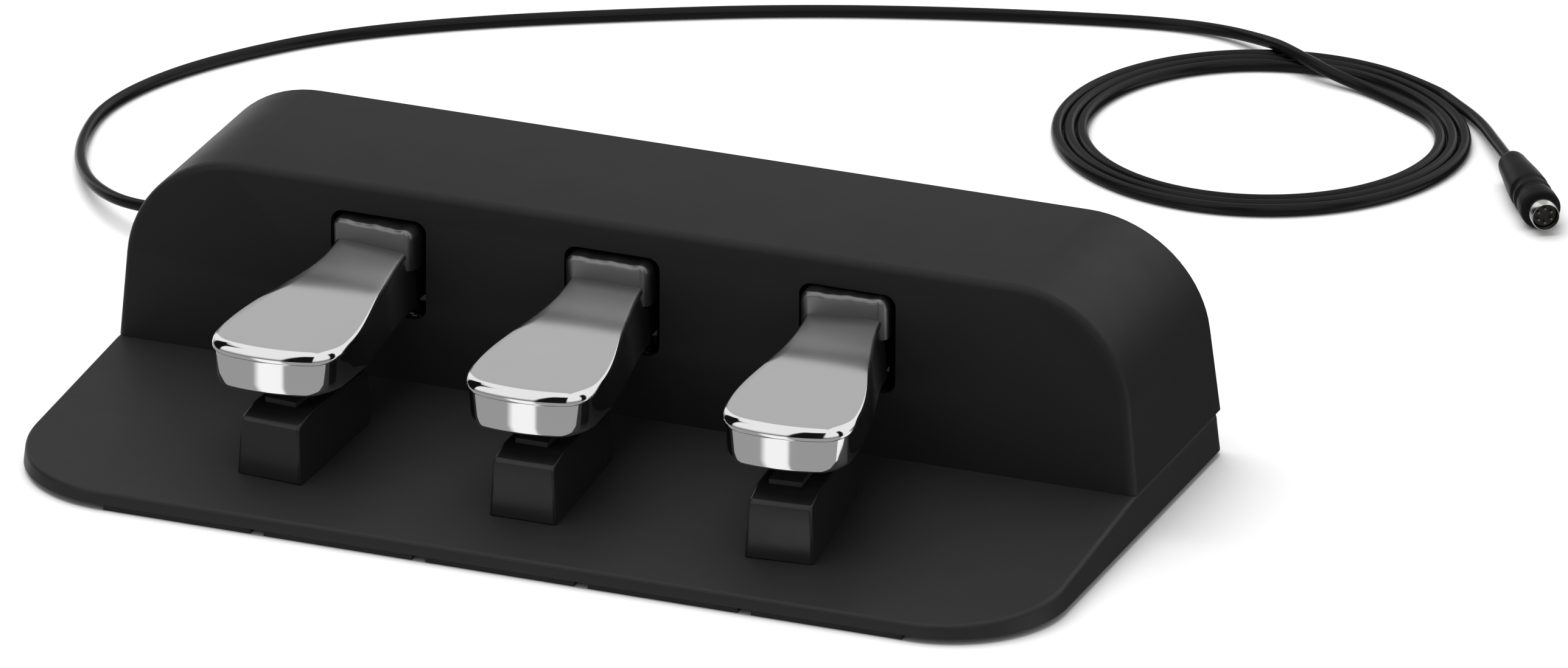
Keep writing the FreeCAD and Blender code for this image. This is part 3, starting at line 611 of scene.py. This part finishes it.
# ------------------------------------------------------------------ stop blocks
# the housing's apron: front edge and foot of the hood, and the heights of both
APRON_FRONT, HOOD_FRONT = -88.5, 12.0
APRON_LOW, APRON_HIGH = 6.0, 14.1
BLOCK_LONG, BLOCK_OVERHANG = 47, 0.3
BLOCK_HALF, BLOCK_DRAFT, SHOULDER_Z = 10.2, 0.055, 27.4
BLOCK_SHIFT = 1.0
# the side faces' rounding: how far their edges lie in, down at the top and back at the front
FLANK_SHARE, FLANK_DROP, FLANK_BACK = 0.94, 0.55, 0.5


def apron_z(y):
    """Height of the housing's apron at y, in mm."""
    run = HOOD_FRONT - APRON_FRONT
    return APRON_LOW + (APRON_HIGH - APRON_LOW) * (y - APRON_FRONT) / run


def stop_block_rows():
    """Side outline carried across the block, narrower at the top and with rounded flanks."""
    front = -REACH - BLOCK_OVERHANG
    rear = front + BLOCK_LONG
    base = apron_z(HOOD_FRONT + front) + 0.05
    rear_base = apron_z(HOOD_FRONT + rear) + 0.05
    outline = [(rear, rear_base), (front, base), (front + 0.5, 25.7), (front + 0.9, 26.6),
               (front + 1.9, SHOULDER_Z), (front + 9.5, 29.4), (rear - 0.6, 29.4), (rear, 28.8)]
    rows = []
    for across in (-1.0, -FLANK_SHARE, FLANK_SHARE, 1.0):
        flank = abs(across) == 1.0
        row = []
        for y, z in outline:
            half = BLOCK_HALF + (SHOULDER_Z - min(z, SHOULDER_Z)) * BLOCK_DRAFT
            drop = FLANK_DROP if flank and z > 20 else 0.0
            back = FLANK_BACK if flank and y < front + 2 else 0.0
            row.append((half * across, y + back, z - drop))
        rows.append(row)
    return rows


def make_blocks():
    part = closed_part(stop_block_rows())
    for name in STATIONS:
        place = station_place(name) @ Matrix.Translation(Vector((BLOCK_SHIFT, 0, 0)) * MM)
        block = add_piece("block_" + name, [part], place, "block_plastic", "chassis",
                          ["stop_block_" + name], 30.0)
        bevel = block.modifiers.new("edges", "BEVEL")
        bevel.width = 0.35 * MM
        bevel.segments = 2
        bevel.limit_method = "ANGLE"
        bevel.angle_limit = math.radians(28)


make_blocks()


# ------------------------------------------------------------------ springs
SPRING_BEHIND = 22.0
# a turn at each end lies almost flat; this share of the height is spread over all of them
END_TURN, EASED = 0.9, 0.25


def helix_part(radius, wire, turns, low, high, per_turn=22, around=8):
    """A wire spring whose middle line climbs from z = low to high, its end turns closed."""
    rows = []
    steps = int(turns * per_turn)
    closed = END_TURN / turns
    for step in range(steps + 1):
        share = step / steps
        even = min(max((share - closed) / (1 - 2 * closed), 0.0), 1.0)
        lift = smooth((share - closed * 0.5) / (1 - closed)) * EASED + (1 - EASED) * even
        angle = 2 * math.pi * turns * share
        middle = low + (high - low) * lift
        ring = []
        for corner in range(around):
            turn = 2 * math.pi * corner / around
            reach = radius + wire / 2 * math.cos(turn)
            ring.append((reach * math.cos(angle), reach * math.sin(angle),
                         middle + wire / 2 * math.sin(turn)))
        rows.append(ring)
    return closed_part(rows)


def make_springs():
    part = helix_part(radius=5.3, wire=1.4, turns=8.5, low=4.45, high=45.15)
    for name in STATIONS:
        place = station_place(name) @ Matrix.Translation(Vector((0, SPRING_BEHIND, 0)) * MM)
        spring = add_piece("spring_wire_" + name, [part], place, "spring_steel", "chassis",
                           ["return_spring_" + name])
        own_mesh(spring)


make_springs()


# ------------------------------------------------------------------ plug and gland
PLUG_LONG, PLUG_RADIUS = 42.0, 6.6
# the rear wall's outside and the boot's tip, along y, and where the boot's axis runs
REAR_WALL, BOOT_TIP = 83.6, 98.5
BOOT_AXIS = (-0.105, 0, 0.022)


def plug_outline():
    """Tapered body: round shoulders, a long swell, two finger grooves and a front collar."""
    outline = [(0, 2.3), (0.15, 3.1), (0.6, 3.9), (1.5, 4.45), (3, 4.75), (6, 5.0), (10, 5.35),
               (14, 5.75), (18, 6.1), (22, 6.35), (25.5, 6.5)]
    for start in (26.2, 31.4):
        outline += [(start, 6.42), (start + 0.7, 6.0), (start + 1.7, 5.85), (start + 2.9, 6.0),
                    (start + 3.6, 6.4), (start + 4.2, 6.5)]
    outline += [(36.6, PLUG_RADIUS - 0.02), (PLUG_LONG - 1.2, PLUG_RADIUS),
                (PLUG_LONG - 0.4, PLUG_RADIUS - 0.25), (PLUG_LONG, PLUG_RADIUS - 0.9),
                (PLUG_LONG, 4.2)]
    return outline


def make_plug():
    """The moulding and the shell's sleeve; the insulator and the pins stay as in the CAD."""
    heading = Matrix.Rotation(math.radians(PLUG_HEADING), 4, "Z")
    place = Matrix.Translation(Vector(PLUG_AT) * MM) @ heading
    body = add_piece("plug_moulding", [closed_part(rings(plug_outline()))], place, "plug_plastic",
                     "chassis", ["plug_body"], 50.0)
    sleeve = [(36, 4.3), (42, 4.6), (47.7, 4.6), (48, 4.45), (48, 4.3), (47.7, 4.2), (44.6, 4.2)]
    shell = add_piece("plug_sleeve", [grid(rings(sleeve), close_columns=True)], place,
                      "plug_nickel", "chassis", ["plug_shell"], 60.0)
    return [body, shell, NODES["plug_core"], NODES["plug_pins"]]


PLUG = make_plug()


def make_gland():
    """Tapered rubber boot with four soft ribs, on its flange at the rear wall."""
    wall = REAR_WALL
    outline = [(wall - 5, 4.45), (wall + 0.9, 4.45), (wall + 0.9, 6.2), (wall + 1.2, 6.5),
               (wall + 2.4, 6.5), (wall + 2.7, 6.1), (wall + 2.9, 4.5)]
    for rib in range(4):
        at = wall + 4.2 + rib * 2.6
        wide = 4.25 - 0.32 * rib
        outline += [(at, wide), (at + 0.4, wide - 0.35), (at + 0.9, wide - 0.35),
                    (at + 1.3, wide - 0.1)]
    outline += [(BOOT_TIP - 0.4, 2.9), (BOOT_TIP, 2.5)]
    place = Matrix.Translation(BOOT_AXIS) @ Matrix.Rotation(math.pi / 2, 4, "Z")
    return add_piece("gland_boot", [closed_part(rings(outline, 40))], place, "cord_rubber",
                     "chassis", ["cord_gland"], 50.0)


GLAND = make_gland()


# ------------------------------------------------------------------ stage
class Surround(Nodes):
    """Node tree of the world or the floor, which look different in mirrors only."""

    def __init__(self, tree):
        # the tree is there already, so Nodes' own start, which makes a material, is left out
        self.tree = tree
        self.mirror = self.add("ShaderNodeLightPath").outputs["Is Glossy Ray"]

    def calc(self, kind, first, second=0.0):
        node = self.add("ShaderNodeMath")
        node.operation = kind
        self.put(node.inputs[0], first)
        self.put(node.inputs[1], second)
        return node.outputs[0]

    def within(self, value, low, high, soft):
        """1 between low and high, 0 outside, with soft ends."""
        above = self.remap(value, low - soft, low + soft, 0.0, 1.0)
        below = self.remap(value, high - soft, high + soft, 1.0, 0.0)
        return self.calc("MULTIPLY", above, below)

    def sector(self, azimuth, span, soft=3.0):
        """1 where the azimuth is inside the span, in degrees, 0 elsewhere."""
        low, high = span
        return self.within(azimuth, math.radians(low), math.radians(high), math.radians(soft))


WORLD_LIGHT = 0.55
# what mirrors see of the world: azimuths in degrees, from and to, for `rear` and for `front`
REAR_WALL_SECTOR, REAR_DARK_SECTOR = (-50, -5), (2, 75)
LOW_FRONT_SECTOR = (-115, 70)
MIDDLE_STAND, LEFT_STAND, RIGHT_STAND = (-5, 16), (-106, -60), (62, 78)
# and of the floor
RIGHT_STRIP, LEFT_STRIP, DARK_STRIP = (-5, 75), (-120, -21), (120, 178)


def make_world():
    """Even pale light; mirrors see a white studio instead.

    It has a grey wall at the rear left that is paler above, a dark patch low at the rear right,
    a dim low zone in front, and three dark stands in front and at the sides. `rear` and `front`
    are azimuths from +Y and from -Y, positive towards +X.
    """
    world = bpy.data.worlds.new("studio")
    bpy.context.scene.world = world
    world.use_nodes = True
    s = Surround(world.node_tree)
    way = s.add("ShaderNodeSeparateXYZ", Vector=s.add("ShaderNodeTexCoord").outputs["Generated"])
    east, north, up = way.outputs
    rear = s.calc("ARCTAN2", east, north)
    front = s.calc("ARCTAN2", east, s.calc("MULTIPLY", north, -1.0))
    wall = s.mix(s.remap(up, 0.38, 0.50, 0.0, 1.0), grey(0.25), grey(0.54))
    light = s.mix(s.sector(rear, REAR_WALL_SECTOR), grey(1.0), wall)
    beside = s.calc("MULTIPLY", s.sector(rear, REAR_DARK_SECTOR, 4),
                    s.remap(up, 0.05, 0.35, 1.0, 0.0))
    light = s.mix(beside, light, grey(0.04))
    low = s.calc("MULTIPLY", s.sector(front, LOW_FRONT_SECTOR, 8),
                 s.remap(up, 0.15, 0.40, 1.0, 0.0))
    light = s.mix(low, light, grey(0.24))
    stands = s.calc("ADD", s.sector(front, MIDDLE_STAND, 1.0), s.sector(front, LEFT_STAND, 2))
    stands = s.calc("ADD", stands, s.sector(front, RIGHT_STAND, 2))
    stands = s.calc("MULTIPLY", stands, s.remap(up, 0.85, 0.89, 1.0, 0.0))
    light = s.mix(stands, light, grey(0.006))
    light = s.mix(s.mirror, grey(WORLD_LIGHT), light)
    background = world.node_tree.nodes["Background"]
    s.put(background.inputs["Color"], light)
    background.inputs["Strength"].default_value = 1.0


def make_floor():
    """Pale floor; mirrors see two grey sectors in front and a dark one at the right rear.

    `front` is the azimuth of the mirrored ray from -Y, positive towards +X.
    """
    data = bpy.data.meshes.new("floor")
    half = 12.0
    corners = [(-half, -half, 0), (half, -half, 0), (half, half, 0), (-half, half, 0)]
    data.from_pydata(corners, [], [(0, 1, 2, 3)])
    floor = new_object("floor", data)
    n = Nodes("floor_paint")
    n.set(Base_Color=n.mix(n.noise(3.0), grey(0.84), grey(0.86)), Roughness=0.75)
    s = Surround(n.tree)
    way = s.add("ShaderNodeSeparateXYZ", Vector=s.add("ShaderNodeNewGeometry").outputs["Incoming"])
    front = s.calc("ARCTAN2", s.calc("MULTIPLY", way.outputs["X"], -1.0), way.outputs["Y"])
    strips = s.calc("ADD", s.sector(front, RIGHT_STRIP, 1.0), s.sector(front, LEFT_STRIP, 2.0))
    beside = s.sector(front, DARK_STRIP, 4.0)
    glow = s.add("ShaderNodeEmission", Color=s.mix(beside, grey(0.38), grey(0.05)))
    blend = s.add("ShaderNodeMixShader")
    s.put(blend.inputs[0], s.calc("MULTIPLY", s.mirror, s.calc("ADD", strips, beside)))
    s.put(blend.inputs[1], n.shader.outputs["BSDF"])
    s.put(blend.inputs[2], glow.outputs["Emission"])
    s.put(n.tree.nodes["Material Output"].inputs["Surface"], blend.outputs["Shader"])
    data.materials.append(n.material)


def softbox(name, place, aim, width, depth, power):
    """A rectangular lamp that neither the camera nor a mirror sees."""
    data = bpy.data.lights.new(name, "AREA")
    data.shape = "RECTANGLE"
    data.size, data.size_y = width, depth
    data.energy = power
    lamp = new_object(name, data)
    lamp.location = place
    lamp.rotation_mode = "QUATERNION"
    lamp.rotation_quaternion = (Vector(aim) - Vector(place)).to_track_quat("-Z", "Y")
    lamp.visible_camera = False
    lamp.visible_glossy = False


def make_stage():
    make_world()
    make_floor()
    softbox("overhead", (-0.5, 0.35, 2.2), (0, 0.1, 0), 2.6, 2.2, 62)
    bpy.context.scene.view_settings.view_transform = "Standard"
    bpy.context.scene.view_settings.look = "None"


make_stage()
